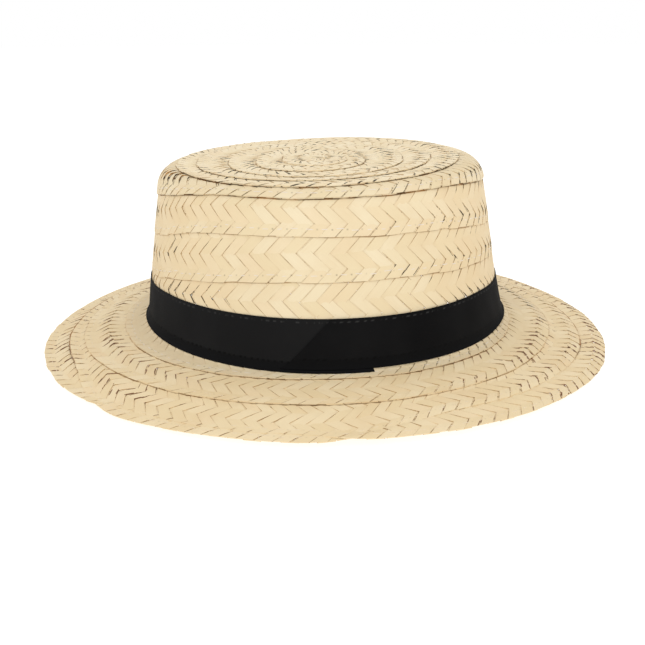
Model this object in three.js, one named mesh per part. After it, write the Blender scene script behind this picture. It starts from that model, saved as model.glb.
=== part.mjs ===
// A straw boater hat: rows of sewn plait make the tip, the wall and the brim, and a ribbon goes
// round the foot of the crown. Millimetres, +Z up, the front towards -Y. The origin is under the
// middle of the hat, on the surface that it rests on.
import * as THREE from 'three';

// Crown, measured on the outside
const crownWidth = 176; // side to side where the wall meets the brim
const crownDepth = 200.6; // front to back at the same height
const crownHeight = 75.2; // from the brim's inner edge up to the tip
const crownInset = 10.3; // how far the wall comes in on its way up
const crownLean = 1.44; // degrees by which the tip rises towards +X
const shoulderRadius = 10.3;
const footRadius = 4; // of the bend between wall and brim

// Brim
const brimWidth = 50.8;
const brimDrop = 9.5; // from its inner to its outer edge
const brimWave = 1.5; // front and back stand up, the sides hang down by as much

// Straw
const plaitThickness = 1.2;
const lapStep = 0.9; // how far a row's edge stands above the next row
const tipLap = 9; // how far the shoulder's row runs in under the tip
const shoulderLap = 4; // how far the wall's first row runs in under the shoulder
const brimLap = 6; // how far the brim's first row runs in under the wall's last one
const clearance = 0.3;

// Ribbon
const ribbonHeight = 22.2;
const ribbonThickness = 1;
const ribbonFoot = 1.8; // between the ribbon's lower edge and the end of the foot's bend
const ribbonStart = 283; // degrees round from +X to the end that lies underneath
const ribbonEnd = 272; // degrees to the top corner of the end that lies outside
const ribbonSlant = 14; // degrees that the outside end leans back over its height
const ribbonSag = 2.2; // how much lower the end underneath hangs at its lower edge

const segmentsRound = 60;
const ribbonSegments = 76;
const ribbonRows = 2;
const shoulderSteps = 5;
const footSteps = 3;

const straw = new THREE.MeshStandardMaterial({ color: 0xead9b0, roughness: 0.72, metalness: 0 });
const tipStraw = new THREE.MeshStandardMaterial({ color: 0xecdcb6, roughness: 0.72, metalness: 0 });
const brimStraw = new THREE.MeshStandardMaterial({ color: 0xe4d0a4, roughness: 0.75, metalness: 0 });
const blackRibbon = new THREE.MeshStandardMaterial({ color: 0x141416, roughness: 0.8, metalness: 0 });

// The hat's outline from the middle of the tip out to the brim's edge
const wallDip = Math.atan2(crownHeight, crownInset);
const brimDip = Math.atan2(brimDrop, brimWidth);
const shoulderTangent = shoulderRadius * Math.tan(wallDip / 2);
const footTangent = footRadius * Math.tan((wallDip - brimDip) / 2);
const tipRadius = crownWidth / 2 - crownInset - shoulderTangent;
const shoulderLength = shoulderRadius * wallDip;
const footLength = footRadius * (wallDip - brimDip);
const wallLength = Math.hypot(crownInset, crownHeight) - shoulderTangent - footTangent;
const brimLength = Math.hypot(brimWidth, brimDrop) - footTangent;
const stretches = [
  { length: tipRadius, bend: 0 },
  { length: shoulderLength, bend: wallDip },
  { length: wallLength, bend: 0 },
  { length: footLength, bend: brimDip - wallDip },
  { length: brimLength, bend: 0 },
];

const sideLength = shoulderLength + wallLength + footLength;
const footEnd = tipRadius + sideLength;
const brimEdge = footEnd + brimLength;
const wallThickness = plaitThickness + lapStep;
const restHeight = brimDrop + brimWave + wallThickness * Math.cos(brimDip);

// Where each row of plait ends, as shares of the length of its own zone: reach is the distance from
// the zone's start, bow is how much further out the row runs at front and back than on average, drift
// how much further out it runs at -X, square how much further out it runs at front, back and sides
// than between them, and swing how much further out it runs at the front than at the back. Each
// piece's last row lies over the next piece.
const tipRows = rowsOf(0, tipRadius, [
  { name: 'start', reach: 0.29, bow: 0.07, drift: 0.045, square: 0, swing: 0 },
  { name: 'second coil', reach: 0.41, bow: 0.064, drift: 0.08, square: 0, swing: 0.1 },
  { name: 'third coil', reach: 0.675, bow: 0.067, drift: 0.032, square: 0, swing: 0.036 },
  { name: 'fourth coil', reach: 0.863, bow: 0.039, drift: 0.045, square: 0, swing: 0 },
  { name: 'tip edge', reach: 1.034, bow: 0.035, drift: 0.01, square: 0, swing: 0 },
]);
const [shoulderRow, ...wallRows] = rowsOf(tipRadius, sideLength, [
  { name: 'shoulder row', reach: 0.155, bow: -0.041, drift: 0.006, square: 0.016, swing: 0 },
  { name: 'upper row', reach: 0.362, bow: -0.068, drift: 0.014, square: 0.011, swing: 0 },
  { name: 'middle row', reach: 0.585, bow: -0.057, drift: 0.043, square: 0, swing: 0 },
  { name: 'lower row', reach: 0.797, bow: -0.03, drift: 0.03, square: 0, swing: 0 },
  { name: 'foot row', reach: 1.065, bow: -0.009, drift: 0.043, square: -0.012, swing: 0 },
]);
const brimRows = rowsOf(footEnd, brimLength, [
  { name: 'inner row', reach: 0.506, bow: -0.013, drift: 0.082, square: 0, swing: 0 },
  { name: 'outer row', reach: 0.693, bow: -0.04, drift: 0, square: 0, swing: 0.08 },
  { name: 'edge row', reach: 1, bow: 0, drift: 0, square: 0, swing: 0 },
]);
const middle = { reach: 0, bow: 0, drift: 0, square: 0, swing: 0 };
const rowEnds = [middle, ...tipRows, shoulderRow, ...wallRows, ...brimRows];

function rowsOf(start, length, shares) {
  return shares.map(({ reach, bow, drift, square, swing }) => ({
    reach: start + reach * length,
    bow: bow * length,
    drift: drift * length,
    square: square * length,
    swing: swing * length,
  }));
}

// How far a row's edge is carried outward at this angle.
function edgeShift({ bow, drift, square, swing }, angle) {
  const evenShift = square * Math.cos(4 * angle) - bow * Math.cos(2 * angle);
  return evenShift - drift * Math.cos(angle) - swing * Math.sin(angle);
}

// How far the plait at this reach is carried outward at this angle, between the rows' own shifts.
function rowShift(reach, angle) {
  const beyond = rowEnds.findIndex((row) => row.reach > reach);
  const next = beyond < 1 ? rowEnds.length - 1 : beyond;
  const inner = rowEnds[next - 1];
  const outer = rowEnds[next];
  const share = THREE.MathUtils.clamp((reach - inner.reach) / (outer.reach - inner.reach), 0, 1);
  return THREE.MathUtils.lerp(edgeShift(inner, angle), edgeShift(outer, angle), share);
}

// The point of the hat's outline at a distance from the middle of the tip, with its slope there.
function outlineAt(reach) {
  const point = { radius: 0, height: crownHeight, dip: 0 };
  let left = reach;
  for (const [index, { length, bend }] of stretches.entries()) {
    const run = index === stretches.length - 1 ? left : Math.min(left, length);
    const turn = (bend * run) / length;
    const chord = turn === 0 ? run : (run * Math.sin(turn / 2)) / (turn / 2);
    point.radius += chord * Math.cos(point.dip + turn / 2);
    point.height -= chord * Math.sin(point.dip + turn / 2);
    point.dip += turn;
    left -= run;
    if (left <= 0) break;
  }
  return point;
}

// The place on the hat of a point at this reach and angle, standing this far proud of the outline.
function placeOnHat(reach, proud, angle) {
  const { radius, height, dip } = outlineAt(reach);
  const deepening = ((crownDepth - crownWidth) / 2) * Math.min(1, radius / tipRadius);
  const across = (radius + proud * Math.sin(dip)) * Math.cos(angle);
  const along = (radius + proud * Math.sin(dip) + deepening) * Math.sin(angle);
  const up = height + proud * Math.cos(dip);
  const lean = Math.tan(THREE.MathUtils.degToRad(crownLean));
  const crownShare = THREE.MathUtils.clamp(height / crownHeight, 0, 1);
  const brimShare = THREE.MathUtils.clamp((radius - crownWidth / 2) / brimWidth, 0, 1);
  return new THREE.Vector3(
    across - lean * Math.max(0, up),
    along,
    up + lean * across * crownShare ** 2 - brimWave * Math.cos(2 * angle) * brimShare + restHeight,
  );
}

// The outer face of a run of rows: each rises to its own edge and steps down there to the next.
function outerFace(rows) {
  return rows.flatMap((row, index) => {
    const edge = new THREE.Vector2(row.reach, 0);
    const nextStart = new THREE.Vector2(row.reach, -lapStep);
    return index < rows.length - 1 ? [edge, nextStart] : [edge];
  });
}

// Adds the points that a profile needs to follow the bends at the shoulder and the foot, with a few
// before and after each bend, because the rows' shifts carry the points in or out.
function followBends(profile) {
  const stations = [];
  for (let step = -1; step <= shoulderSteps + 1; step += 1) {
    stations.push(tipRadius + (shoulderLength * step) / shoulderSteps);
  }
  for (let step = -footSteps; step <= footSteps + 2; step += 1) {
    stations.push(footEnd - footLength + (footLength * step) / footSteps);
  }
  const followed = [profile[0]];
  for (let index = 1; index < profile.length; index += 1) {
    const from = profile[index - 1];
    const to = profile[index];
    const low = Math.min(from.x, to.x) + clearance;
    const high = Math.max(from.x, to.x) - clearance;
    const between = stations.filter((station) => station > low && station < high);
    if (to.x < from.x) between.reverse();
    for (const station of between) {
      followed.push(from.clone().lerp(to, (station - from.x) / (to.x - from.x)));
    }
    followed.push(to);
  }
  return followed;
}

// Turns a profile of (reach, proud) points into flat rings of plait, then folds them onto the hat.
function plaitPiece(name, profile, material) {
  const geometry = new THREE.LatheGeometry(followBends(profile), segmentsRound);
  geometry.rotateX(Math.PI / 2);
  const position = geometry.attributes.position;
  for (let index = 0; index < position.count; index += 1) {
    const flatX = position.getX(index);
    const flatY = position.getY(index);
    const reach = Math.hypot(flatX, flatY);
    const angle = Math.atan2(flatY, flatX);
    const place = placeOnHat(reach + rowShift(reach, angle), position.getZ(index), angle);
    position.setXYZ(index, place.x, place.y, place.z);
  }
  geometry.computeVertexNormals();
  const mesh = new THREE.Mesh(geometry, material);
  mesh.name = name;
  return mesh;
}

// The inner face of a piece's last row where it lies over the next piece, in by their lap.
function innerLap(edge, lap) {
  const lapStart = edge - lap - clearance;
  return [
    new THREE.Vector2(lapStart, -wallThickness),
    new THREE.Vector2(lapStart, -plaitThickness),
    new THREE.Vector2(edge, -plaitThickness),
  ];
}

function crownTip() {
  const profile = [
    new THREE.Vector2(0, -wallThickness),
    ...innerLap(tipRows.at(-1).reach, tipLap),
    ...outerFace(tipRows).reverse(),
    new THREE.Vector2(0, 0),
  ];
  return plaitPiece('crown_tip', profile, tipStraw);
}

// The profile of a ring of rows, which starts under the edge of the piece before it.
function ringProfile(edgeBefore, lap, innerEnd, rows) {
  const outer = -plaitThickness - clearance;
  const inner = outer - plaitThickness;
  return [
    new THREE.Vector2(edgeBefore - lap, inner),
    new THREE.Vector2(edgeBefore, inner),
    new THREE.Vector2(edgeBefore + lap / 2, -wallThickness),
    ...innerEnd,
    ...outerFace(rows).reverse(),
    new THREE.Vector2(edgeBefore, outer),
    new THREE.Vector2(edgeBefore - lap, outer),
    new THREE.Vector2(edgeBefore - lap, inner),
  ];
}

function crownShoulder() {
  const innerEnd = innerLap(shoulderRow.reach, shoulderLap);
  const profile = ringProfile(tipRows.at(-1).reach, tipLap, innerEnd, [shoulderRow]);
  return plaitPiece('crown_shoulder', profile, straw);
}

function crownWall() {
  const innerEnd = innerLap(wallRows.at(-1).reach, brimLap);
  const profile = ringProfile(shoulderRow.reach, shoulderLap, innerEnd, wallRows);
  return plaitPiece('crown_wall', profile, straw);
}

function brim() {
  const innerEnd = [new THREE.Vector2(brimEdge, -wallThickness)];
  const profile = ringProfile(wallRows.at(-1).reach, brimLap, innerEnd, brimRows);
  return plaitPiece('brim', profile, brimStraw);
}

// A straight length of ribbon, wrapped once round and on over its own start.
function hatBand() {
  const geometry = new THREE.BoxGeometry(1, 1, 1, ribbonSegments, ribbonRows, 1);
  const position = geometry.attributes.position;
  const wrap = 360 + ribbonStart - ribbonEnd;
  const overlap = ribbonStart - ribbonEnd + ribbonSlant;
  const foot = footEnd - ribbonFoot;
  for (let index = 0; index < position.count; index += 1) {
    const along = position.getX(index) + 0.5;
    const upward = position.getY(index) + 0.5;
    const outward = 0.5 - position.getZ(index);
    const slant = ribbonSlant * (1 - upward) * THREE.MathUtils.smoothstep(along, 0.8, 1);
    const turned = wrap * along + slant;
    const rise = THREE.MathUtils.smoothstep(turned, 360 - 3 * overlap, 360 - 0.2 * overlap);
    const layer = clearance + rise * (ribbonThickness + clearance);
    const sag = ribbonSag * (1 - upward) * (1 - THREE.MathUtils.smoothstep(turned, 0, 4 * overlap));
    const reach = foot - ribbonHeight * upward + sag;
    const angle = THREE.MathUtils.degToRad(ribbonStart - turned);
    const place = placeOnHat(reach, layer + ribbonThickness * outward, angle);
    position.setXYZ(index, place.x, place.y, place.z);
  }
  geometry.computeVertexNormals();
  const mesh = new THREE.Mesh(geometry, blackRibbon);
  mesh.name = 'hat_band';
  return mesh;
}

const hat = new THREE.Group();
hat.name = 'boater_hat';
hat.add(crownTip(), crownShoulder(), crownWall(), brim(), hatBand());

export default hat;
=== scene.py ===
# A straw boater hat. One long plait of palm strips is woven strip by strip, coiled from the middle of
# the tip out to the brim's edge and sewn with a thread, and a black ribbon goes round the crown.
import math

import bmesh
import bpy
import numpy as np
from mathutils import Matrix, Vector


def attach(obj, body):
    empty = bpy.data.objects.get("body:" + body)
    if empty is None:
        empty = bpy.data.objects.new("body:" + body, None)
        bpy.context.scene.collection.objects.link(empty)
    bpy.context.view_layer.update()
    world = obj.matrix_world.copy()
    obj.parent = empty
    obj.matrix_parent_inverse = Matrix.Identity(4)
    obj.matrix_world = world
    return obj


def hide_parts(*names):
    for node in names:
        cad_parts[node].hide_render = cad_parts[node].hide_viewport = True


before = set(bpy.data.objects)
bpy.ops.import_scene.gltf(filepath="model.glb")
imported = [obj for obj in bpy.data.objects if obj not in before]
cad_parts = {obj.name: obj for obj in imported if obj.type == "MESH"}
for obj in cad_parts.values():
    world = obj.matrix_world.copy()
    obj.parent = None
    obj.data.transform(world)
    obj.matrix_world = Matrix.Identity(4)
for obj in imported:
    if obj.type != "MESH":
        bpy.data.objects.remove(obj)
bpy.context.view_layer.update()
mm = 0.001
print(f"frame loaded: {len(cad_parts)} nodes")

# The hat's form, in millimetres: the same driving sizes as the solids have
hatForm = {
    "crownWidth": 176,
    "crownDepth": 200.6,
    "crownHeight": 75.2,
    "crownInset": 10.3,
    "crownLean": 1.44,  # degrees
    "shoulderRadius": 10.3,
    "footRadius": 4,
    "brimWidth": 50.8,
    "brimDrop": 9.5,
    "brimWave": 1.5,
    "wallThickness": 2.1,
}

wallDip = math.atan2(hatForm["crownHeight"], hatForm["crownInset"])
brimDip = math.atan2(hatForm["brimDrop"], hatForm["brimWidth"])
shoulderTangent = hatForm["shoulderRadius"] * math.tan(wallDip / 2)
footTangent = hatForm["footRadius"] * math.tan((wallDip - brimDip) / 2)
tipRadius = hatForm["crownWidth"] / 2 - hatForm["crownInset"] - shoulderTangent
shoulderLength = hatForm["shoulderRadius"] * wallDip
footLength = hatForm["footRadius"] * (wallDip - brimDip)
wallLength = math.hypot(hatForm["crownInset"], hatForm["crownHeight"]) - shoulderTangent - footTangent
brimLength = math.hypot(hatForm["brimWidth"], hatForm["brimDrop"]) - footTangent
sideLength = shoulderLength + wallLength + footLength
footEnd = tipRadius + sideLength
restHeight = (
    hatForm["brimDrop"] + hatForm["brimWave"] + hatForm["wallThickness"] * math.cos(brimDip)
)
stretches = [
    {"length": tipRadius, "bend": 0},
    {"length": shoulderLength, "bend": wallDip},
    {"length": wallLength, "bend": 0},
    {"length": footLength, "bend": brimDip - wallDip},
    {"length": brimLength, "bend": 0},
]

# Where each row's outer edge runs, as shares of its zone's length. Bow, square, lobes, drift and swing
# bend it on its way round, and bulge moves it out or in at the front left. Front and sides are how deep
# the step down to the next row is there, in millimetres.
rowTable = [
    {"zone": "tip", "reach": 0.29, "bow": 0.07, "drift": 0.045, "front": 0.4, "sides": 0.5},
    {"zone": "tip", "reach": 0.41, "bow": 0.064, "drift": 0.08, "swing": 0.1, "front": 0.5, "sides": 0.5},
    {
        "zone": "tip", "reach": 0.675, "bow": 0.067, "drift": 0.032, "swing": 0.036,
        "front": 0.55, "sides": 0.6,
    },
    {"zone": "tip", "reach": 0.863, "bow": 0.039, "drift": 0.045, "front": 0.6, "sides": 0.55},
    {
        "zone": "tip", "reach": 1.03, "bow": 0.038, "drift": 0.017, "swing": -0.01,
        "front": 0.85, "sides": 0.45,
    },
    {
        "zone": "side", "reach": 0.1524, "bow": -0.043, "drift": 0.017, "square": 0.016,
        "lobes": -0.0107, "front": 0.9, "sides": 0.7,
    },
    {
        "zone": "side", "reach": 0.3628, "bow": -0.068, "drift": 0.014, "square": 0.017,
        "lobes": -0.012, "front": 0.5, "sides": 0.35,
    },
    {
        "zone": "side", "reach": 0.583, "bow": -0.057, "drift": 0.043, "square": 0.007,
        "lobes": -0.0095, "front": 0.5, "sides": 0.35,
    },
    {"zone": "side", "reach": 0.797, "bow": -0.03, "drift": 0.03, "front": 0.5, "sides": 0.5},
    {
        "zone": "side", "reach": 1.065, "bow": -0.009, "drift": 0.043, "square": -0.012,
        "front": 0.55, "sides": 0.3,
    },
    {"zone": "brim", "reach": 0.506, "bow": -0.013, "drift": 0.082, "front": 0.5, "sides": 0.3},
    {
        "zone": "brim", "reach": 0.693, "bow": -0.04, "swing": 0.08, "bulge": 0.27,
        "front": 0.12, "sides": 0.9,
    },
    {"zone": "brim", "reach": 1, "bulge": -0.09, "front": 0, "sides": 0},
]
zones = {
    "tip": {"start": 0, "length": tipRadius},
    "side": {"start": tipRadius, "length": sideLength},
    "brim": {"start": footEnd, "length": brimLength},
}
rowLength = np.array([zones[row["zone"]]["length"] for row in rowTable])
rowStart = np.array([zones[row["zone"]]["start"] for row in rowTable])
lastRow = len(rowTable) - 1


def rowColumn(name):
    return np.array([row.get(name, 0.0) for row in rowTable])


rowReach = rowStart + rowColumn("reach") * rowLength
rowBow = rowColumn("bow") * rowLength
rowDrift = rowColumn("drift") * rowLength
rowSquare = rowColumn("square") * rowLength
rowSwing = rowColumn("swing") * rowLength
rowLobes = rowColumn("lobes") * rowLength
rowBulge = rowColumn("bulge") * rowLength
frontStep = rowColumn("front")
sideStep = rowColumn("sides")


def smoothStep(value, low=0.0, high=1.0):
    share = np.clip((value - low) / (high - low), 0, 1)
    return share * share * (3 - 2 * share)


def outlineAt(reach):  # the outline's radius, height and dip at a distance from the tip's middle
    radius = np.zeros_like(reach)
    height = np.full_like(reach, hatForm["crownHeight"])
    dip = np.zeros_like(reach)
    start = 0
    for index, stretch in enumerate(stretches):
        end = stretch["length"] if index < len(stretches) - 1 else np.inf
        run = np.clip(reach - start, 0, end)
        turn = stretch["bend"] * run / stretch["length"]
        chord = run * np.sinc(turn / (2 * np.pi))
        radius = radius + chord * np.cos(dip + turn / 2)
        height = height - chord * np.sin(dip + turn / 2)
        dip = dip + turn
        start += stretch["length"]
    return radius, height, dip


def placeOnHat(reach, proud, angle):  # in metres, one row for each point
    radius, height, dip = outlineAt(reach)
    deepening = (hatForm["crownDepth"] - hatForm["crownWidth"]) / 2 * np.minimum(1, radius / tipRadius)
    across = (radius + proud * np.sin(dip)) * np.cos(angle)
    along = (radius + proud * np.sin(dip) + deepening) * np.sin(angle)
    up = height + proud * np.cos(dip)
    lean = math.tan(math.radians(hatForm["crownLean"]))
    crownShare = np.clip(height / hatForm["crownHeight"], 0, 1)
    brimShare = np.clip((radius - hatForm["crownWidth"] / 2) / hatForm["brimWidth"], 0, 1)
    wave = hatForm["brimWave"] * np.cos(2 * angle) * brimShare
    return np.stack(
        [
            across - lean * np.maximum(0, up),
            along,
            up + lean * across * crownShare**2 - wave + restHeight,
        ],
        axis=1,
    ) * mm


# The coil: the plait runs clockwise from above, starting at +X, and steps out a row at the back
coil = {
    "turns": lastRow + 1,
    "columns": 7,  # crossings from one edge of the plait to the other
    "columnStep": 3.4,
    "stripStep": 7.0,
    "waver": 0.16,  # how unevenly the plait's edge runs, as a slow wave and a share of a quick one
    "slowWave": 61,
    "quickWave": 149,
    "quickShift": 1,
    "quickShare": 0.6,
    "frontFrom": 0.25,  # the front has its full step where the sine of the way round passes frontTo
    "frontTo": 0.6,
    "outFrom": 0.6,  # shares of a turn between which the plait's edge steps out a row
    "outTo": 0.9,
    "bulgeMiddle": 250,  # degrees round from +X
    "bulgeWidth": 92,
    "bulgeFade": 30,
    "edgeSharpness": 8,  # how much sooner the bulge fades on the last row's edge
    "middleStep": 0.5,  # the step of the first coil, which has no row before it
    "middleTurns": 0.3,  # turns after the first in which the plait gets back to its own width
    "middleHole": 0.02,  # its radius
    "tuck": 1.05,  # how far a row sinks once it is under the row before it
    "tuckFrom": 0.1,  # and how far under that row's edge it starts to sink and has sunk
    "tuckTo": 3,
    "press": 0.32,  # how far an edge is pressed down where it stands less than a step above the next row
    "pressFrom": 0.1,
    "pressTo": 0.5,
    "pressWidth": 2,
    "lastDrop": 1.4,  # the last row's edge has no row under it and lies this much lower
    "lastTurns": 0.5,  # turns in which it gets there
    "leastShown": 9,
    "mostShown": 24,
}
plaitWidth = coil["columnStep"] * (coil["columns"] + 1)


def ringReach(row, angle):
    row = np.clip(row, 0, lastRow)
    evenShift = rowSquare[row] * np.cos(4 * angle) - rowBow[row] * np.cos(2 * angle)
    oddShift = -rowDrift[row] * np.cos(angle) - rowSwing[row] * np.sin(angle)
    oddShift = oddShift + rowLobes[row] * np.cos(3 * angle)
    sharpness = np.where(row == lastRow, coil["edgeSharpness"], 1)
    return rowReach[row] + evenShift + oddShift + rowBulge[row] * bulgeShare(angle) ** sharpness


def bulgeShare(angle):  # where the last but one row covers the last one
    away = awayFrom(coil["bulgeMiddle"], np.degrees(angle))
    return 1 - smoothStep(away, coil["bulgeWidth"] / 2 - coil["bulgeFade"], coil["bulgeWidth"] / 2)


def awayFrom(middle, degrees):
    return np.abs((degrees - middle + 180) % 360 - 180)


def ringStep(row, angle):
    row = np.clip(row, 0, lastRow)
    atFront = smoothStep(-np.sin(angle), coil["frontFrom"], coil["frontTo"])
    return frontStep[row] * atFront + sideStep[row] * (1 - atFront)


def betweenRows(ring, turns):  # one ring's value, or on the back half of a turn a mix with the next one's
    row = np.floor(turns).astype(int)
    angle = -2 * np.pi * turns
    share = smoothStep(turns - row, coil["outFrom"], coil["outTo"])
    return ring(row, angle) * (1 - share) + ring(row + 1, angle) * share


def edgeReach(turns):  # the plait's outer edge after so many turns
    slow = np.sin(turns * coil["slowWave"])
    quick = np.sin(turns * coil["quickWave"] + coil["quickShift"])
    return betweenRows(ringReach, turns) + coil["waver"] * (slow + coil["quickShare"] * quick)


turnSteps = np.linspace(0, coil["turns"], 4000)
edgePoints = placeOnHat(edgeReach(turnSteps), np.zeros_like(turnSteps), -2 * np.pi * turnSteps) / mm
edgeLengths = np.concatenate([[0], np.cumsum(np.linalg.norm(np.diff(edgePoints, axis=0), axis=1))])
plaitLength = edgeLengths[-1]
print(f"plait: {plaitLength / 1000:.2f} m long and {plaitWidth:.1f} mm wide")


def placeOnPlait(along, inward, proud):  # inward from the plait's outer edge, all in millimetres
    turns = np.interp(along, edgeLengths, turnSteps)
    angle = -2 * np.pi * turns
    edge = edgeReach(turns)
    before = np.where(turns > 1, edgeReach(np.maximum(turns - 1, 0)), 0)
    step = np.where(turns > 1, betweenRows(ringStep, np.maximum(turns - 1, 0)), coil["middleStep"])
    ownStep = betweenRows(ringStep, turns)
    shown = np.clip(edge - before, coil["leastShown"], coil["mostShown"])

    # The first coil reaches the middle of the tip
    stretch = (edge / plaitWidth - 1) * (1 - smoothStep(turns, 1, 1 + coil["middleTurns"]))
    reach = np.maximum(edge - inward * (1 + stretch), coil["middleHole"])
    seam = before - reach

    # Each row slopes down to pass under the row before it, and the last one lies flat on its own
    free = smoothStep(turns, coil["turns"] - 1, coil["turns"] - 1 + coil["lastTurns"])
    under = smoothStep(seam, coil["tuckFrom"], coil["tuckTo"]) * (turns > 1)
    sunk = step * np.minimum(inward / shown, 1) + (coil["tuck"] - step) * under
    sunk = sunk + coil["tuck"] * np.maximum(0, inward / shown - 1)
    shallow = 1 - smoothStep(ownStep, coil["pressFrom"], coil["pressTo"])
    sunk = sunk + coil["press"] * shallow * (1 - smoothStep(inward, 0, coil["pressWidth"])) * (1 - free)
    lastButOne = (turns > coil["turns"] - 2) & (turns < coil["turns"] - 1)
    covering = bulgeShare(angle) * lastButOne
    sunk = sunk + coil["lastDrop"] * covering * (1 - smoothStep(inward, 0, shown))
    points = placeOnHat(reach, proud - sunk * (1 - free) - coil["lastDrop"] * free, angle)
    return points, {"seam": seam, "step": step, "ownStep": ownStep}


# Shader maths
class Socket:
    def __init__(self, tree, output):
        self.tree = tree
        self.output = output

    def maths(self, operation, other, reflected=False):
        values = [other, self] if reflected else [self, other]
        return node(self.tree, "ShaderNodeMath", {"operation": operation}, values)

    def __add__(self, other):
        return self.maths("ADD", other)

    __radd__ = __add__

    def __sub__(self, other):
        return self.maths("SUBTRACT", other)

    def __rsub__(self, other):
        return self.maths("SUBTRACT", other, True)

    def __mul__(self, other):
        return self.maths("MULTIPLY", other)

    __rmul__ = __mul__

    def __truediv__(self, other):
        return self.maths("DIVIDE", other)

    def __abs__(self):
        return node(self.tree, "ShaderNodeMath", {"operation": "ABSOLUTE"}, [self])

    def fraction(self):
        return node(self.tree, "ShaderNodeMath", {"operation": "FRACT"}, [self])

    def ramp(self, low, high, start=0.0, end=1.0):
        settings = {"interpolation_type": "SMOOTHSTEP", "clamp": True}
        return node(self.tree, "ShaderNodeMapRange", settings, [self, low, high, start, end])


def node(tree, kind, settings=None, values=(), output=0):
    made = tree.nodes.new(kind)
    for name, setting in (settings or {}).items():
        setattr(made, name, setting)
    pairs = values.items() if isinstance(values, dict) else enumerate(values)
    for name, value in pairs:
        target = made.inputs[name]
        if isinstance(value, Socket):
            tree.links.new(value.output, target)
        else:
            target.default_value = value
    return Socket(tree, made.outputs[output])


def attribute(tree, name):
    return node(tree, "ShaderNodeAttribute", {"attribute_name": name}, output="Fac")


def vector(tree, x=0.0, y=0.0, z=0.0):
    return node(tree, "ShaderNodeCombineXYZ", values=[x, y, z])


def noise(tree, place, scale, detail=2.0, roughness=0.5):
    return node(
        tree,
        "ShaderNodeTexNoise",
        values={"Vector": place, "Scale": scale, "Detail": detail, "Roughness": roughness},
    )


def mixColour(tree, share, first, second, blend="MIX"):
    settings = {"data_type": "RGBA", "blend_type": blend}
    first = first if isinstance(first, Socket) else (*first, 1)
    second = second if isinstance(second, Socket) else (*second, 1)
    return node(tree, "ShaderNodeMix", settings, {0: share, 6: first, 7: second}, output=2)


def newMaterial(name):
    material = bpy.data.materials.new(name)
    material.use_nodes = True
    tree = material.node_tree
    shader = tree.nodes["Principled BSDF"]
    return material, tree, shader


def connect(tree, socket, shader, name):
    tree.links.new(socket.output, shader.inputs[name])


strawLook = {
    "pale": (0.84, 0.72, 0.495),
    "mid": (0.79, 0.65, 0.405),
    # the aged colour is real ageing in the blotches and fibres, and is also the painted shade at the hat's
    # sides
    "warm": (0.82, 0.65, 0.42),
    "agedAndShade": (0.73, 0.56, 0.33),
    "line": (0.38, 0.215, 0.065),
    # the colour of the painted shadow under each row's edge
    "seam": (0.33, 0.15, 0.035),
    "dark": (0.05, 0.03, 0.012),
    "thread": (0.74, 0.69, 0.66),
    "hole": (0.10, 0.07, 0.05),
    "orange": (0.55, 0.26, 0.04),
    "fibreDepth": 0.1,  # millimetres
    "fibreStrength": 0.3,
    "roughness": 0.56,
    "fibreRoughness": 0.18,
    "specular": 0.3,
}

# How fine the grain is along a strip, across it and from one strip to the next, and its share of the relief
grains = {
    "fibres": {"along": 0.5, "across": 26, "between": 90, "detail": 3.0, "roughness": 0.6, "relief": 0.6},
    "veins": {"along": 0.12, "across": 9, "between": 50, "detail": 1.0, "roughness": 0.5, "relief": 0.4},
}

# How a shade goes on to the palm: where it starts and is full, how much of it there is, and which it is
palmLayers = {
    "strip": {"from": 0.1, "to": 0.9, "share": 0.75, "colour": "mid"},
    "oddStrip": {"from": 0.7, "to": 1.0, "share": 0.5, "colour": "warm"},
    "blotch": {"from": 0.4, "to": 0.8, "share": 0.42, "colour": "agedAndShade"},
    "fibre": {"from": 0.3, "to": 0.8, "share": 0.28, "colour": "agedAndShade"},
    "vein": {"from": 0.62, "to": 0.75, "share": 0.25, "colour": "warm"},
}

# Scales of the palm's noise, and pairs of where each mark starts and where it is full
strawMarks = {
    "oddStrips": 7.3,
    "blotches": 55.0,
    "clusters": 62.0,
    "cluster": (0.38, 0.6, 0.1, 1.0),
    "patchAlong": 1.1,
    "patchStrip": 70,
    "patchShift": 3.0,
    "patch": (0.45, 0.53),
    "spots": 160.0,
    "spot": (0.3, 0.65),
    "belowSeam": (-4.5, -3.0),
    "belowStep": (0.2, 0.35),
    "belowShare": 0.7,
    "looseStrip": (0.2, 0.6),
    "lineStart": 0.478,  # share of a strip's width, out from its middle
    "openWidth": 0.07,
    "lineBlur": 0.018,
    "lineShare": 0.7,
    "leastLine": 0.16,
    "sideFade": 0.8,
    "openFull": (0.0, 0.5),
    "notThread": (0.6, 0.4),
    "torn": (1.1, 1.3),
    "tornRim": (7.0, 8.5),
    "tornInside": (16.0, 14.5),
    "tornEdge": (0.3, 0.36),
    "tickRim": (3.4, 2.2),
    "tickShare": 0.6,
}
seamMarks = {
    "uneven": 105.0,
    "unevenness": (0.38, 0.54, 0.2, 1.0),
    "inside": (-0.7, -0.25),
    "outside": (1.6, 0.8),
    "faceOut": (0.1, 0.4),
    "backShare": 0.2,
    "step": (0.05, 0.75),
    "share": 0.97,
    "blackStep": (0.3, 0.75),
    "blackSpots": 140.0,
    "blackSpot": (0.38, 0.56),
    "rim": (0.55, 0.2),
    "rimStep": (0.45, 0.9),
}
sewingMarks = {
    "holeAlong": (0.42, 0.46),
    "holeAcross": (0.5, 0.2),
    "holeShare": 0.5,
    "twists": 14.0,  # in one stitch
    "twistShade": 0.4,
}
strawAttributes = [
    "along",
    "across",
    "tone",
    "band",
    "seam",
    "step",
    "ownStep",
    "rim",
    "outside",
    "run",
    "sideways",
    "loose",
    "thread",
]


def grain(tree, at, form):  # noise drawn out along each strip
    between = at["tone"] * form["between"]
    place = vector(tree, at["along"] * form["along"], at["across"] * form["across"], between)
    return noise(tree, place, 1.0, form["detail"], form["roughness"])


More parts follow.
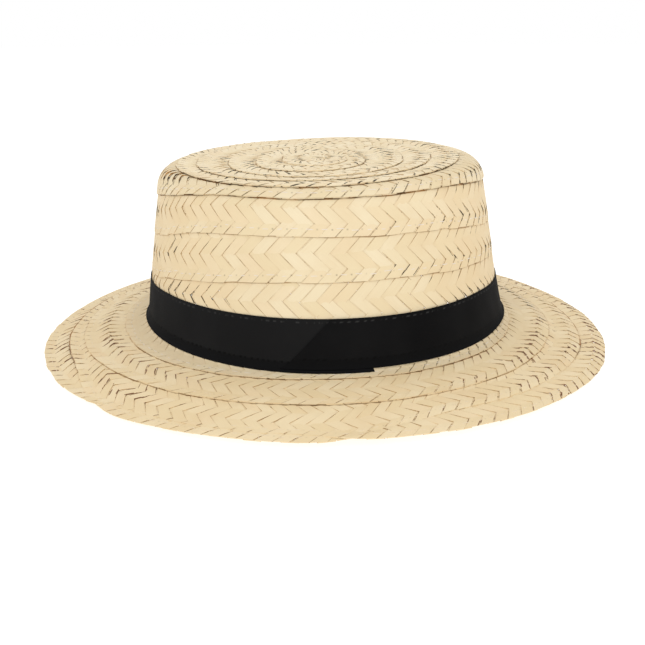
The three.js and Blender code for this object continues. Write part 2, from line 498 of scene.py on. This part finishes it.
def layered(tree, shade, mark, layer):
    share = mark.ramp(layer["from"], layer["to"]) * layer["share"]
    return mixColour(tree, share, shade, strawLook[layer["colour"]])


def palmShade(tree, at, look):  # each strip has its own shade, with long fibres and a few blotches
    marks = {
        "strip": at["tone"],
        "oddStrip": (at["tone"] * strawMarks["oddStrips"]).fraction(),
        "blotch": noise(tree, at["place"], strawMarks["blotches"], 3.0),
        "fibre": at["fibres"],
        "vein": at["veins"],
    }
    shade = strawLook["pale"]
    for name, mark in marks.items():
        shade = layered(tree, shade, mark, palmLayers[name])
    # The piece's tint is partly the straw's own colour and partly painted shade, which darkens the shoulder
    # and walls
    shade = mixColour(tree, 1.0, shade, look["tintAndShade"], "MULTIPLY")
    # Painted shade: the straw darkens towards the aged colour at the hat's sides
    return mixColour(tree, at["sideways"] * look["sideShade"], shade, strawLook["agedAndShade"])


# Painted shade: the dark strokes are the gaps beside loose strips, darkened as if one looked into the hat
def strokeShade(tree, at, look, shade):  # thin brown edges, which are dark strokes where a strip lies loose
    marks = strawMarks
    spread = at["sideways"] * (1.0 - look["spread"]) + look["spread"]
    patchPlace = vector(
        tree, at["along"] * marks["patchAlong"], at["tone"] * marks["patchStrip"], marks["patchShift"]
    )
    patch = noise(tree, patchPlace, 1.0, 1.0).ramp(*marks["patch"])
    cluster = noise(tree, at["place"], marks["clusters"], 1.0).ramp(*marks["cluster"])
    underSeam = at["seam"].ramp(*marks["belowSeam"]) * at["step"].ramp(*marks["belowStep"])
    middleBand = 1.0 - (1.0 - at["band"]) * (1.0 - underSeam * marks["belowShare"]) * (1.0 - look["spread"])
    looseShare = at["loose"].ramp(*marks["looseStrip"])
    open = patch * looseShare * spread * middleBand * cluster * look["strokes"]
    strip = abs(at["across"])
    fromEdge = strip - (marks["lineStart"] - open * marks["openWidth"])
    line = (fromEdge / marks["lineBlur"]).ramp(0.0, 1.0)
    line = line * (1.0 - at["sideways"] * (1.0 - middleBand) * marks["sideFade"])
    thinLine = line * (at["fine"] * marks["lineShare"] + marks["leastLine"]) * at["notThread"]
    # The thin line along each strip's edge is partly the straw's browned edge and partly painted shade
    # between the strips
    shade = mixColour(tree, thinLine, shade, strawLook["line"])
    # Painted shade in the gap beside a loose strip
    shade = mixColour(tree, line * open.ramp(*marks["openFull"]), shade, look["gapShade"])

    # A few torn slits at the shoulder, and short dark ticks of painted shade in the gaps along each row's
    # edge
    rim = at["rim"]
    torn = at["loose"].ramp(*marks["torn"]) * rim.ramp(*marks["tornRim"]) * rim.ramp(*marks["tornInside"])
    slitTone = mixColour(tree, at["fine"], strawLook["orange"], strawLook["dark"])
    shade = mixColour(tree, torn * strip.ramp(*marks["tornEdge"]), shade, slitTone)
    ticks = rim.ramp(*marks["tickRim"]) * patch * line * (1 - at["sideways"]) * marks["tickShare"]
    return mixColour(tree, ticks, shade, look["gapShade"])


# Painted shadow under each row's edge and along its own rim, stronger where the step is higher
def seamShade(tree, at, look, shade):  # under each row's edge: orange by a low step, and dark by a high one
    marks = seamMarks
    uneven = noise(tree, at["place"], marks["uneven"], 3.0).ramp(*marks["unevenness"])
    nearSeam = at["seam"].ramp(*marks["inside"]) * at["seam"].ramp(*marks["outside"])
    faceShare = at["outside"].ramp(*marks["faceOut"]) * (1 - marks["backShare"]) + marks["backShare"]
    seamShadowShare = nearSeam * at["step"].ramp(*marks["step"]) * uneven * faceShare
    blackSpots = noise(tree, at["place"], marks["blackSpots"], 2.0).ramp(*marks["blackSpot"])
    blackShadow = at["step"].ramp(*marks["blackStep"]) * blackSpots * look["blackShadow"]
    seamShadowTone = mixColour(tree, blackShadow, strawLook["seam"], strawLook["dark"])
    shade = mixColour(tree, seamShadowShare * marks["share"], shade, seamShadowTone)
    # Painted shade along the row's own rim where its step is high
    ownRim = at["rim"].ramp(*marks["rim"]) * at["ownStep"].ramp(*marks["rimStep"]) * uneven * at["notThread"]
    return mixColour(tree, ownRim * look["rimLine"], shade, seamShadowTone)


def sewingShade(tree, at, look, shade):  # the thread and its needle holes
    marks = sewingMarks
    alongHole = abs(at["run"].fraction() - 0.5).ramp(*marks["holeAlong"])
    hole = alongHole * abs(at["rim"] - stitches["inward"]).ramp(*marks["holeAcross"])
    holeShare = hole * at["fine"] * look["thread"] * marks["holeShare"]
    # Painted shade: each needle hole is a dark spot
    shade = mixColour(tree, holeShare, shade, strawLook["hole"])
    twist = (at["run"] * marks["twists"]).fraction().ramp(0.0, 1.0)
    threadTone = mixColour(tree, twist * marks["twistShade"], strawLook["thread"], strawLook["agedAndShade"])
    return mixColour(tree, at["thread"] * look["thread"], shade, threadTone)


def strawMaterial(name, look):
    material, tree, shader = newMaterial(name)
    at = {feature: attribute(tree, feature) for feature in strawAttributes}
    at["place"] = node(tree, "ShaderNodeTexCoord", output="Object")
    at["fibres"] = grain(tree, at, grains["fibres"])
    at["veins"] = grain(tree, at, grains["veins"])
    at["fine"] = noise(tree, at["place"], strawMarks["spots"], 2.0).ramp(*strawMarks["spot"])
    at["notThread"] = at["thread"].ramp(*strawMarks["notThread"])
    shade = palmShade(tree, at, look)
    shade = strokeShade(tree, at, look, shade)
    shade = seamShade(tree, at, look, shade)
    shade = sewingShade(tree, at, look, shade)
    connect(tree, shade, shader, "Base Color")
    roughness = strawLook["roughness"] + at["fibres"] * strawLook["fibreRoughness"]
    connect(tree, roughness, shader, "Roughness")
    relief = at["fibres"] * grains["fibres"]["relief"] + at["veins"] * grains["veins"]["relief"]
    bumpValues = {
        "Height": relief,
        "Strength": strawLook["fibreStrength"],
        "Distance": strawLook["fibreDepth"] * mm,
    }
    bump = node(tree, "ShaderNodeBump", values=bumpValues, output="Normal")
    connect(tree, bump, shader, "Normal")
    shader.inputs["Specular IOR Level"].default_value = strawLook["specular"]
    return material


# The plait's strips: one flat strip is arrayed, and every copy is laid into the weave
strips = {
    "thickness": 0.26,
    "lift": 0.12,  # half the height between the strip above and the strip below at a crossing
    "longLift": 1.2,  # its share between two crossings that a strip passes alike
    "shortLift": 0.8,  # and between one that it passes over and one that it passes under
    "endLift": 0.85,
    "crown": 0.03,  # how far a strip's middle stands above its edges
    "fill": 0.965,
    "fillSpread": 0.02,
    "leastFill": 0.75,
    "frontBack": 0.3,  # the cosine of the way round up to which the hat's front and back reach
    "sides": 0.85,  # and from which its sides do
    "sideGap": 0.14,  # how much narrower the loose strips are at the hat's sides
    "looseLeft": 0.6,  # how far in from the row's edge they lie on the left, as a share of what shows
    "looseRight": 0.26,
    "looseInner": 3.2,  # half the width of the band where all of it is loose, and where it ends
    "looseOuter": 6,
    "sway": 0.04,  # share of a strip's width that it may lie to one side
    "skew": 0.05,  # share of a strip's width that it may be turned off its line by
    "jitter": 0.02,
    "jog": 0.32,  # how far a fold may stand out from the plait's edge, or back, in millimetres
    "jogFrom": 0.5,
    "jogReach": 4,
    "tornFrom": 5.415,  # in turns: on the left of the shoulder a few strips stand well apart
    "tornTo": 5.466,
    "tornLoose": 1.6,
    "grainShift": 20,  # so that no two strips have the same fibres
    "sharpAngle": 40,
}
riseOver = np.array([-1, -1, 1, 1, -1, -1, 1.0])  # which of the crossings a rising strip passes over
flatSheet = {"half": 0.5, "thickness": 0.1, "spacing": 2}
stations = {
    "near": 0.2,  # places within a crossing, as shares of it
    "middle": 0.5,
    "far": 0.8,
    "beforeFold": 0.05,
    "fold": 0.5,
}


def stripStations():  # places along a strip, in crossings, with fewer of them at the hidden inner edge
    places = [-stations["fold"]]
    for column in range(coil["columns"]):
        if column > 1:
            places.append(column + stations["near"])
        places.append(column + stations["middle"])
        if 0 < column < coil["columns"] - 1:
            places.append(column + stations["far"])
    places.append(coil["columns"] - stations["beforeFold"])
    places.append(coil["columns"] + stations["fold"])
    return np.array(places)


def stationHeights(places, over):
    columns = np.clip(np.floor(places).astype(int), 0, coil["columns"] - 1)
    heights = over[columns] * 1.0
    for index, place in enumerate(places):
        column = columns[index]
        offset = place - column - stations["middle"]
        if offset != 0 and 0 < place < places[-2]:
            neighbour = over[column + (1 if offset > 0 else -1)]
            heights[index] *= strips["longLift"] if neighbour == over[column] else strips["shortLift"]
    heights[0] *= strips["endLift"]
    heights[-1] *= strips["endLift"]
    return heights


def linkObject(name, data):
    obj = bpy.data.objects.new(name, data)
    bpy.context.scene.collection.objects.link(obj)
    return obj


def makeSheet(name, segmentsLong, segmentsWide):
    bm = bmesh.new()
    bmesh.ops.create_grid(bm, x_segments=segmentsLong, y_segments=segmentsWide, size=flatSheet["half"])
    bmesh.ops.solidify(bm, geom=bm.faces[:], thickness=flatSheet["thickness"])
    bmesh.ops.recalc_face_normals(bm, faces=bm.faces[:])
    mesh = bpy.data.meshes.new(name)
    bm.to_mesh(mesh)
    bm.free()
    return mesh


def stripArray(name, count, places):
    obj = linkObject(name, makeSheet(name, places - 1, 2))
    repeat = obj.modifiers.new("repeat", "ARRAY")
    repeat.count = count
    repeat.use_relative_offset = False
    repeat.use_constant_offset = True
    repeat.constant_offset_displace = (0, flatSheet["spacing"], 0)
    applyModifiers(obj)
    return obj


def applyModifiers(obj):
    graph = bpy.context.evaluated_depsgraph_get()
    made = bpy.data.meshes.new_from_object(obj.evaluated_get(graph), depsgraph=graph)
    old = obj.data
    obj.modifiers.clear()
    obj.data = made
    bpy.data.meshes.remove(old)


def readPoints(mesh):
    flat = np.empty(len(mesh.vertices) * 3)
    mesh.vertices.foreach_get("co", flat)
    return flat.reshape(-1, 3)


def writePoints(mesh, points):
    mesh.vertices.foreach_set("co", points.ravel())
    mesh.update()


def writeAttribute(mesh, name, values):
    made = mesh.attributes.new(name, "FLOAT", "POINT")
    made.data.foreach_set("value", np.asarray(values, dtype=np.float32))


def writeAttributes(mesh, attributes):
    for name, values in attributes.items():
        writeAttribute(mesh, name, values)


def drawStrips(count, seed):  # how each strip differs from the others
    draw = np.random.default_rng(seed)
    return {
        "tone": draw.random(count),
        "slack": draw.normal(0, strips["fillSpread"], count),
        "sway": draw.uniform(-strips["sway"], strips["sway"], count),
        "lift": draw.normal(0, strips["jitter"], count),
        "loose": draw.random(count),
        "skew": draw.uniform(-strips["skew"], strips["skew"], count),
        "jog": draw.uniform(-strips["jog"], strips["jog"], count),
    }


def looseBand(turns, inward, copy):  # 1 in the band of each row where its strips lie loose
    toRight = smoothStep(np.cos(2 * np.pi * turns), -strips["frontBack"], strips["frontBack"])
    before = edgeReach(np.maximum(turns - 1, 0))
    shown = np.clip(edgeReach(turns) - before, coil["leastShown"], coil["mostShown"])
    looseAt = shown * (strips["looseLeft"] + (strips["looseRight"] - strips["looseLeft"]) * toRight)
    return 1 - smoothStep(np.abs(inward - looseAt[copy]), strips["looseInner"], strips["looseOuter"])


def layStrips(name, numbers, rising, seed):
    places = stripStations()
    heights = stationHeights(places, riseOver if rising else -riseOver)
    obj = stripArray(name, len(numbers), len(places))
    points = readPoints(obj.data)
    copy = np.rint(points[:, 1] / flatSheet["spacing"]).astype(int)
    station = np.rint((points[:, 0] + flatSheet["half"]) * (len(places) - 1)).astype(int)
    side = np.rint((points[:, 1] - flatSheet["spacing"] * copy) / flatSheet["half"])
    top = points[:, 2] > np.median(points[:, 2])
    drawn = drawStrips(len(numbers), seed)

    # Where each strip lies on the hat, and how loose it is
    direction = 1 if rising else -1
    middle = numbers * coil["stripStep"]
    turns = np.interp(middle, edgeLengths, turnSteps)
    bandTurns = np.interp(middle + direction * coil["columnStep"], edgeLengths, turnSteps)
    torn = (bandTurns > strips["tornFrom"]) & (bandTurns < strips["tornTo"])
    loose = np.where(torn, strips["tornLoose"], drawn["loose"])
    sideways = smoothStep(np.abs(np.cos(2 * np.pi * turns)), strips["frontBack"], strips["sides"])
    step = places[station]
    band = looseBand(turns, plaitWidth - (step + 0.5) * coil["columnStep"], copy)

    # Each point of the flat strip, first across the strip and then along and across the plait
    gap = strips["sideGap"] * (sideways * loose)[copy] * band
    width = np.clip(strips["fill"] + drawn["slack"][copy] - gap, strips["leastFill"], 1.0)
    across = 0.5 * side * width + drawn["sway"][copy]
    across = across + drawn["skew"][copy] * (step / coil["columns"] - 0.5)
    atFold = (station == 0) | (station == len(places) - 1)
    step = np.where(atFold, step - across, step)
    halfStep = coil["stripStep"] / 2
    firstMiddle = halfStep * (coil["columns"] / 2)
    alongPlait = middle[copy] + direction * (halfStep * (step - across) - firstMiddle)
    inward = plaitWidth - (step + across + 0.5) * coil["columnStep"]
    inward = inward + drawn["jog"][copy] * (1 - smoothStep(inward, strips["jogFrom"], strips["jogReach"]))
    proud = heights[station] * strips["lift"] + drawn["lift"][copy] + strips["crown"] * (1 - side**2)
    proud = proud + np.where(top, 0.5, -0.5) * strips["thickness"]
    laid, found = placeOnPlait(alongPlait, inward, proud)
    writePoints(obj.data, laid)
    writeAttributes(
        obj.data,
        {
            "along": step + strips["grainShift"] * drawn["tone"][copy].round(2),
            "across": 0.5 * side,
            "tone": drawn["tone"][copy],
            "band": band,
            **found,
            "rim": inward,
            "outside": top,
            "run": alongPlait / stitches["pitch"],
            "sideways": sideways[copy],
            "loose": loose[copy],
            "thread": np.zeros(len(points)),
        },
    )
    return obj


# The sewing thread: short stitches a little way in from each row's outer edge
stitches = {
    "pitch": 6.2,
    "length": 4.2,
    "shortest": 0.55,  # shares of that length
    "longest": 1.15,
    "width": 0.34,
    "inward": 2.9,
    "stray": 0.25,
    "lean": 0.1,
    "rise": 0.26,
    "thickness": 0.2,
    "roundness": 0.06,
    "lift": 0.02,
    "stations": 5,
}


def laySewing(name, start, end, seed):
    numbers = np.arange(math.ceil(start / stitches["pitch"]), math.floor(end / stitches["pitch"]))
    obj = stripArray(name, len(numbers), stitches["stations"])
    points = readPoints(obj.data)
    copy = np.rint(points[:, 1] / flatSheet["spacing"]).astype(int)
    share = points[:, 0] / flatSheet["half"]
    side = (points[:, 1] - flatSheet["spacing"] * copy) / flatSheet["half"]
    top = points[:, 2] > np.median(points[:, 2])
    draw = np.random.default_rng(seed)
    stray = draw.normal(0, stitches["stray"], len(numbers))
    size = draw.uniform(stitches["shortest"], stitches["longest"], len(numbers))
    lean = draw.normal(0, stitches["lean"], len(numbers))
    along = (numbers[copy] + 0.5) * stitches["pitch"] + share * size[copy] * stitches["length"] / 2
    inward = stitches["inward"] + stray[copy] + lean[copy] * share + side * stitches["width"] / 2
    proud = stitches["rise"] * (1 - share**4) + np.where(top, 0.5, -0.5) * stitches["thickness"]
    proud = proud - np.where(top, stitches["roundness"], 0) * side**2 + stitches["lift"]
    laid, found = placeOnPlait(along, inward, proud)
    writePoints(obj.data, laid)
    nothing = np.zeros(len(points))
    writeAttributes(
        obj.data,
        {
            **{name: nothing for name in ("along", "across", "band", "sideways", "loose")},
            **found,
            "ownStep": nothing,
            "tone": draw.random(len(numbers))[copy],
            "rim": inward,
            "outside": top,
            "run": along / stitches["pitch"],
            "thread": np.ones(len(points)),
        },
    )
    return obj


def joinMeshes(name, parts):
    bm = bmesh.new()
    for part in parts:
        bm.from_mesh(part.data)
    bmesh.ops.recalc_face_normals(bm, faces=bm.faces[:])
    mesh = bpy.data.meshes.new(name)
    bm.to_mesh(mesh)
    bm.free()
    for part in parts:
        old = part.data
        bpy.data.objects.remove(part)
        bpy.data.meshes.remove(old)
    smoothMesh(mesh, strips["sharpAngle"])
    return linkObject(name, mesh)


def smoothMesh(mesh, sharpAngle):
    mesh.polygons.foreach_set("use_smooth", [True] * len(mesh.polygons))
    mesh.set_sharp_from_angle(angle=math.radians(sharpAngle))


# Colours of the painted shade in the gaps between loose strips: black on the crown, brown on the brim
blackGapShade = (0.05, 0.035, 0.014)
brownGapShade = (0.2, 0.09, 0.035)
plaitPieces = [
    {
        "node": "crown_tip",
        "slot": "tip_straw",
        "turns": (0, 5),
        # partly the straw's own colour, partly painted shade: darker on the shoulder and walls
        "tintAndShade": (1.03, 1.035, 1.055),
        "gapShade": blackGapShade,
        "strokes": 1.3,
        "spread": 0.8,  # share of the strokes that the front and back have too
        # how much painted shade darkens the straw towards the hat's sides
        "sideShade": 0.0,
        # how much painted shade darkens each row's own rim
        "rimLine": 0.35,
        # how black the painted shadow under each row's edge gets
        "blackShadow": 1.0,
        "thread": 0.4,
    },
    {
        "node": "crown_shoulder",
        "slot": "side_straw",
        "turns": (5, 6),
        "tintAndShade": (0.93, 0.93, 0.93),
        "gapShade": blackGapShade,
        "strokes": 1.2,
        "spread": 0.1,
        "sideShade": 0.2,
        "rimLine": 0.15,
        "blackShadow": 0.9,
        "thread": 0.8,
    },
    {
        "node": "crown_wall",
        "slot": "side_straw",
        "turns": (6, 10),
        "tintAndShade": (0.91, 0.91, 0.91),
        "gapShade": blackGapShade,
        "strokes": 1.3,
        "spread": 0.0,
        "sideShade": 0.5,
        "rimLine": 0.1,
        "blackShadow": 0.7,
        "thread": 0.8,
    },
    {
        "node": "brim",
        "slot": "brim_straw",
        "turns": (10, 13),
        "tintAndShade": (0.96, 0.93, 0.885),
        "gapShade": brownGapShade,
        "strokes": 2.4,
        "spread": 0.1,
        "sideShade": 0.0,
        "rimLine": 1.0,
        "blackShadow": 0.45,
        "thread": 0.3,
    },
]


seeds = {"rising": 11, "falling": 31, "sewing": 51}


def makePlait():
    for index, piece in enumerate(plaitPieces):
        name = piece["node"].replace("crown", "plait").replace("brim", "plait_brim")
        start, end = np.interp(piece["turns"], turnSteps, edgeLengths)
        first = math.ceil(start / coil["stripStep"])
        last = math.ceil(end / coil["stripStep"])
        numbers = np.arange(first, last)
        rising = layStrips(name + "_rising", numbers, True, seeds["rising"] + index)
        falling = layStrips(name + "_falling", numbers + 0.5, False, seeds["falling"] + index)
        sewing = laySewing(name + "_sewing", start, end, seeds["sewing"] + index)
        obj = joinMeshes(name, [rising, falling, sewing])
        obj.data.materials.append(strawMaterial(name, piece))
        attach(obj, "root")
        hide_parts(piece["node"])
        print(f"{name}: {2 * len(numbers)} strips, {len(obj.data.polygons)} faces")


# The ribbon: one straight length, wrapped round once and on over its own start
ribbonForm = {
    "height": 22.2,
    "thickness": 0.3,
    "foot": 1.8,  # between the lower edge and the end of the foot's bend
    "start": 283,  # degrees round from +X to the end that lies underneath
    "end": 272,
    "slant": 14,
    "slantFrom": 0.8,  # share of the ribbon's length where its slanted end begins
    "sag": 2.2,  # how much lower the end underneath hangs at its lower edge
    "sagFade": 4,  # in overlaps from the start
    "stand": 0.28,  # between the outline and the ribbon's inner face
    "lap": 0.42,  # how far the outside end stands above the end underneath
    "lapFrom": 1.6,  # where it rises to that, in overlaps before the full turn
    "lapTo": 0.2,
    "hem": 5.2,
    "hemStep": 0.12,
    "hemFold": 0.8,
    "ripple": 0.14,
    "longRipples": 9,
    "shortRipples": 23,
    "rippleDrift": 2,
    "sideDip": 1.2,  # how much lower the upper edge runs at the sides
    "sides": 0.8,  # the cosine of the way round from which they do
    "bulge": 1.3,  # where the lower edge stands off at the side
    "bulgeAt": 350,
    "bulgeFull": 6,
    "bulgeEnd": 24,
    "segmentsRound": 420,
    "segmentsUp": 14,
    "sharpAngle": 50,
    "perDegree": 1.62,  # its length in millimetres for each degree round, about
}


def makeRibbon():
    form = ribbonForm
    mesh = makeSheet("ribbon_band", form["segmentsRound"], form["segmentsUp"])
    points = readPoints(mesh)
    along = points[:, 0] + flatSheet["half"]
    upward = points[:, 1] + flatSheet["half"]
    outer = points[:, 2] < np.median(points[:, 2])
    wrap = 360 + form["start"] - form["end"]
    overlap = form["start"] - form["end"] + form["slant"]
    turned = wrap * along + form["slant"] * (1 - upward) * smoothStep(along, form["slantFrom"], 1)
    degrees = form["start"] - turned
    angle = np.radians(degrees)

    # How far up the crown each point lies
    sag = form["sag"] * (1 - upward) * (1 - smoothStep(turned, 0, form["sagFade"] * overlap))
    sideDip = form["sideDip"] * upward * smoothStep(np.abs(np.cos(angle)), form["sides"], 1)
    reach = footEnd - form["foot"] - form["height"] * upward + sag + sideDip

    # How far it stands off the straw
    rise = smoothStep(turned, 360 - form["lapFrom"] * overlap, 360 - form["lapTo"] * overlap)
    aboveHem = smoothStep(upward * form["height"], form["hem"] - form["hemFold"], form["hem"])
    drift = form["rippleDrift"]
    longRipple = np.sin(angle * form["longRipples"] + drift * np.sin(angle * drift))
    ripple = longRipple * np.sin(angle * form["shortRipples"] + upward * drift)
    atBulge = 1 - smoothStep(awayFrom(form["bulgeAt"], degrees), form["bulgeFull"], form["bulgeEnd"])
    bulge = form["bulge"] * (1 - upward) ** 2 * atBulge
    proud = form["stand"] + rise * form["lap"] + form["hemStep"] * (1 - aboveHem) + bulge
    proud = proud + form["ripple"] * ripple * np.sin(np.pi * upward) + np.where(outer, form["thickness"], 0)
    writePoints(mesh, placeOnHat(reach, proud, angle))
    writeAttribute(mesh, "along", wrap * along * form["perDegree"])
    writeAttribute(mesh, "up", upward * form["height"])
    writeAttribute(mesh, "turned", turned)
    smoothMesh(mesh, form["sharpAngle"])
    obj = linkObject("ribbon_band", mesh)
    obj.data.materials.append(ribbonMaterial())
    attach(obj, "root")
    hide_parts("hat_band")


ribbonLook = {
    "black": (0.0022, 0.0022, 0.0025),
    "wornAndSheen": (0.0115, 0.0115, 0.012),
    "stitch": (0.002, 0.002, 0.002),
    "glint": (0.03, 0.03, 0.03),
    "clouds": 38.0,
    "cloud": (0.3, 0.8),
    "cloudShare": 0.35,
    "sheenStart": (150.0, 60.0),  # degrees from the end underneath where a painted sheen makes it pale
    "startShare": 0.6,
    "hemShare": 0.25,
    "weaveAlong": 2.4,
    "weaveUp": 5.5,
    "weave": (0.4, 0.7),
    "weaveShare": 0.2,
    "relief": 0.12,  # millimetres
    "reliefStrength": 0.4,
    "roughness": 0.78,
    "weaveRoughness": 0.15,
    "specular": 0.08,
}

# Both rows of stitches: how many to a millimetre, and pairs of where a stitch ends and where it is full
stitchRows = {
    "ragged": {"along": 0.35, "up": 0.2, "shows": (0.4, 0.55)},
    "hem": {"pitch": 0.36, "dash": (0.3, 0.22), "width": (0.5, 0.25), "blur": 0.6, "share": 1.0},
    "upper": {"pitch": 0.29, "dash": (0.3, 0.2), "width": (0.45, 0.2), "inward": 1.4, "share": 0.8},
}


def stitchRow(along, away, row):
    dash = abs((along * row["pitch"]).fraction() - 0.5).ramp(*row["dash"])
    return dash * abs(away).ramp(*row["width"])


def ribbonMaterial():
    look = ribbonLook
    material, tree, shader = newMaterial("ribbon_cloth")
    along = attribute(tree, "along")
    up = attribute(tree, "up")
    turned = attribute(tree, "turned")
    place = node(tree, "ShaderNodeTexCoord", output="Object")

    # The cloth, worn pale in clouds, with a painted sheen near the end underneath
    cloud = noise(tree, place, look["clouds"], 4.0).ramp(*look["cloud"])
    weave = noise(tree, vector(tree, along * look["weaveAlong"], up * look["weaveUp"]), 1.0)
    # Real wear in clouds, plus a painted sheen near the end underneath
    wornAndSheen = cloud * look["cloudShare"] + turned.ramp(*look["sheenStart"]) * look["startShare"]
    hem = stitchRows["hem"]
    aboveHem = up.ramp(ribbonForm["hem"] - hem["blur"], ribbonForm["hem"] + hem["blur"])
    wornAndSheenShare = wornAndSheen * (look["hemShare"] + (1 - look["hemShare"]) * aboveHem)
    shade = mixColour(tree, wornAndSheenShare, look["black"], look["wornAndSheen"])
    shade = mixColour(tree, weave.ramp(*look["weave"]) * look["weaveShare"], shade, look["wornAndSheen"])

    # Ragged stitches along the hem and under the upper edge
    ragged = stitchRows["ragged"]
    raggedPlace = vector(tree, along * ragged["along"], up * ragged["up"])
    shows = noise(tree, raggedPlace, 1.0, 1.0).ramp(*ragged["shows"])
    hemStitch = stitchRow(along, up - ribbonForm["hem"], hem) * shows
    shade = mixColour(tree, hemStitch * hem["share"], shade, look["stitch"])
    upper = stitchRows["upper"]
    upperStitch = stitchRow(along, up - ribbonForm["height"] + upper["inward"], upper) * shows
    shade = mixColour(tree, upperStitch * upper["share"], shade, look["glint"])
    connect(tree, shade, shader, "Base Color")
    connect(tree, look["roughness"] + weave * look["weaveRoughness"], shader, "Roughness")
    bumpValues = {
        "Height": weave - hemStitch,
        "Strength": look["reliefStrength"],
        "Distance": look["relief"] * mm,
    }
    bump = node(tree, "ShaderNodeBump", values=bumpValues, output="Normal")
    connect(tree, bump, shader, "Normal")
    shader.inputs["Specular IOR Level"].default_value = look["specular"]
    return material


# Camera, light and floor
studio = {
    "focal": 981.65,  # in pixels of a 645 pixel picture
    "pixels": 645,
    "distance": 506.1,
    "elevation": 17.097,
    "roll": 0.28,
    "target": (-1.0, 0, 3.3),
    "sensor": 36,
    "nearest": 0.01,  # metres, as all below
    "farthest": 50,
    "sky": 1.0,
    "keySize": 0.9,
    "keyEnergy": 2.4,
    "keyPlace": (0.1, -1.1, 0.5),
    "keyAim": (0, 0, 0.04),
    "floorRadius": 6,
    "floorGrey": 0.5,
    "floorGlow": 0.72,
}


def makeCamera():
    data = bpy.data.cameras.new("camera")
    data.sensor_width = studio["sensor"]
    data.lens = studio["focal"] / studio["pixels"] * data.sensor_width
    data.clip_start = studio["nearest"]
    data.clip_end = studio["farthest"]
    camera = linkObject("camera", data)
    elevation = math.radians(studio["elevation"])
    roll = math.radians(studio["roll"])
    forward = Vector((0, math.cos(elevation), -math.sin(elevation)))
    right = Vector((1, 0, 0))
    up = Vector((0, math.sin(elevation), math.cos(elevation)))
    rolledRight = right * math.cos(roll) - up * math.sin(roll)
    rolledUp = right * math.sin(roll) + up * math.cos(roll)
    turn = Matrix((rolledRight, rolledUp, -forward)).transposed().to_4x4()
    place = (Vector(studio["target"]) - forward * studio["distance"]) * mm
    camera.matrix_world = Matrix.Translation(place) @ turn
    bpy.context.scene.camera = camera


def makeKeyLight():
    data = bpy.data.lights.new("key", "AREA")
    data.shape = "DISK"
    data.size = studio["keySize"]
    data.energy = studio["keyEnergy"]
    light = linkObject("key", data)
    light.location = studio["keyPlace"]
    light.rotation_mode = "QUATERNION"
    forward = Vector(studio["keyAim"]) - Vector(studio["keyPlace"])
    light.rotation_quaternion = forward.to_track_quat("-Z", "Y")


def makeFloor():
    bm = bmesh.new()
    bmesh.ops.create_circle(bm, cap_ends=True, segments=96, radius=studio["floorRadius"])
    mesh = bpy.data.meshes.new("floor")
    bm.to_mesh(mesh)
    bm.free()
    floor = linkObject("floor", mesh)
    material, _, shader = newMaterial("floor")
    shader.inputs["Base Color"].default_value = (*[studio["floorGrey"]] * 3, 1)
    shader.inputs["Roughness"].default_value = 1
    shader.inputs["Specular IOR Level"].default_value = 0
    shader.inputs["Emission Color"].default_value = (1, 1, 1, 1)
    shader.inputs["Emission Strength"].default_value = studio["floorGlow"]
    mesh.materials.append(material)


def makeSky():
    world = bpy.data.worlds.new("studio")
    bpy.context.scene.world = world
    world.use_nodes = True
    sky = world.node_tree.nodes["Background"]
    sky.inputs["Color"].default_value = (1, 1, 1, 1)
    sky.inputs["Strength"].default_value = studio["sky"]
    bpy.context.scene.view_settings.view_transform = "Standard"


makeCamera()
makeSky()
makeKeyLight()
makeFloor()
print("camera and studio ready")
makePlait()
makeRibbon()
print("ribbon ready")
